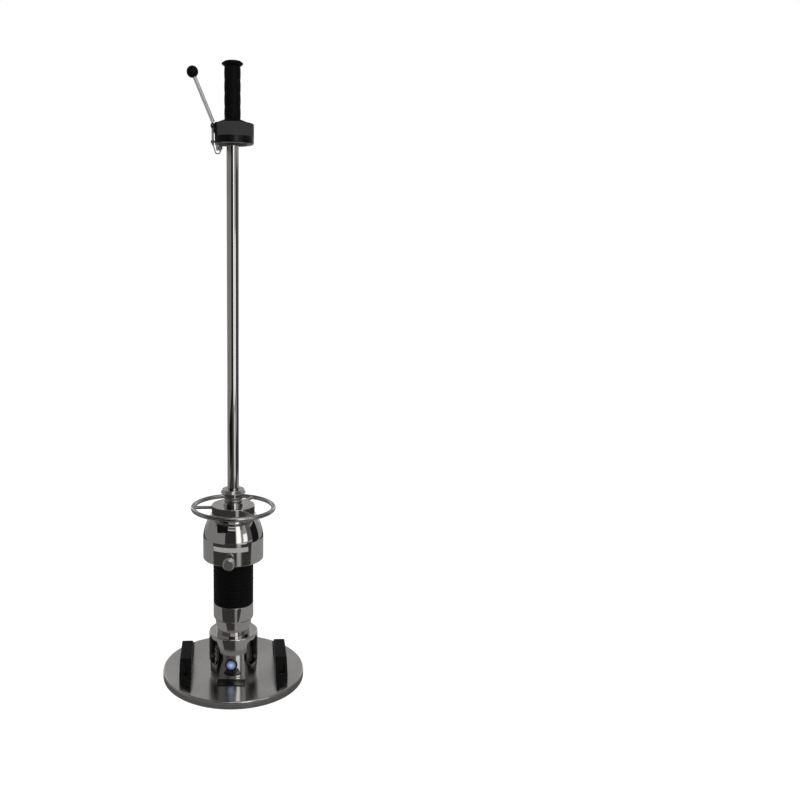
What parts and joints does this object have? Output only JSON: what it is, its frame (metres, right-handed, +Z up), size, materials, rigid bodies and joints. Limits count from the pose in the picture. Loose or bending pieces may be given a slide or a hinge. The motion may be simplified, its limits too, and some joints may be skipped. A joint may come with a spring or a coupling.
{
  "type": "lightweight deflectometer",
  "caption": "Round load plate with handles and a sensor hub, carrying a guide rod on which a ring-handled drop weight falls onto a spring buffer, with a release head and grip.",
  "frame": {"origin": "centre of the load plate's underside", "axes": "+Z up along the guide rod, -Y towards the power button"},
  "size_m": [0.3, 0.3, 1.2466],
  "materials": {
    "polished_steel": "mirror-polished plated steel",
    "satin_steel": "satin turned steel",
    "dark_steel": "oiled dark spring steel",
    "screw_steel": "zinc-plated steel",
    "black_gloss": "glossy black",
    "black_plastic": "matte black moulded plastic",
    "black_rubber": "matte black rubber",
    "blue_lens": "blue lit lens",
    "grey_can": "plain grey aluminium",
    "bronze": "plain bearing bronze",
    "green_board": "green circuit board",
    "cell_wrap": "plain wrapped battery cells"
  },
  "bodies": {
    "base": {"load_plate": "polished_steel", "hub_screws": "screw_steel", "hub_cage": "polished_steel", "button_bezel": "black_gloss", "switch_body": "black_plastic", "electronics_can": "grey_can", "can_lid": "grey_can", "motion_sensor": "dark_steel", "circuit_board": "green_board", "battery_holder": "black_plastic", "battery_cells": "cell_wrap", "carry_handle_left": "black_plastic", "carry_handle_right": "black_plastic", "handle_screws": "screw_steel", "blank_plate": "black_gloss", "centring_stud": "polished_steel"},
    "button": {"power_button": "blue_lens"},
    "guide": {"spring_housing": "polished_steel", "guide_rod": "polished_steel", "rod_screw": "screw_steel", "disc_springs": "dark_steel", "sleeve_ring": "black_rubber", "spring_sleeve": "black_rubber", "head_skirt": "black_gloss", "skirt_screws": "screw_steel", "head_body": "satin_steel", "set_screw": "screw_steel", "hook_pin": "screw_steel", "lever_bracket": "black_gloss", "bracket_screws": "screw_steel", "lever_pin": "screw_steel", "head_cap": "black_plastic", "hand_grip": "black_rubber"},
    "striker": {"striker_plate": "dark_steel"},
    "weight": {"drop_weight": "polished_steel", "lower_bush": "bronze", "upper_bush": "bronze", "catch_collar": "polished_steel", "lift_ring": "polished_steel", "ring_spokes": "polished_steel", "lock_bush": "satin_steel"},
    "lock": {"lock_plunger": "satin_steel", "lock_knob": "polished_steel"},
    "lever": {"release_lever": "satin_steel", "lever_ball": "black_plastic", "lever_eye_pin": "screw_steel"},
    "hook": {"latch_hook": "satin_steel", "hook_eye_pin": "screw_steel"},
    "wire": {"pull_wire": "screw_steel", "wire_ferrules": "screw_steel"}
  },
  "joints": [
    {"name": "device_lift", "type": "slide", "parent": "base", "child": "guide", "axis": [0, 0, 1], "range_m": [0, 0.08]},
    {"name": "button_press", "type": "slide", "parent": "base", "child": "button", "axis": [0.0958, 0.9954, 0], "range_m": [0, 0.0015], "stiffness_N_per_m": 800},
    {"name": "weight_drop", "type": "slide", "parent": "guide", "child": "weight", "axis": [0, 0, 1], "range_m": [0, 0.689]},
    {"name": "buffer_stroke", "type": "slide", "parent": "guide", "child": "striker", "axis": [0, 0, 1], "range_m": [-0.0195, 0], "stiffness_N_per_m": 362000, "deforming": ["spring_sleeve", "disc_springs"]},
    {"name": "lock_push", "type": "slide", "parent": "weight", "child": "lock", "axis": [0.1219, 0.9925, 0], "range_m": [0, 0.0065]},
    {"name": "lever_squeeze", "type": "hinge", "parent": "guide", "child": "lever", "pos_m": [-0.0379, 0, 1.1296], "axis": [0, 1, 0], "range_deg": [0, 20]},
    {"name": "hook_swing", "type": "hinge", "parent": "guide", "child": "hook", "pos_m": [-0.0232, 0, 1.1186], "axis": [0, 1, 0], "range_deg": [0, 20]},
    {"name": "wire_swing", "type": "hinge", "parent": "lever", "child": "wire", "pos_m": [-0.0379, 0, 1.0996], "axis": [0, 1, 0], "range_deg": [-20, 0]}
  ],
  "couplings": [
    {"joint": "hook_swing", "follows": "lever_squeeze", "ratio": 1},
    {"joint": "wire_swing", "follows": "lever_squeeze", "ratio": -1}
  ]
}
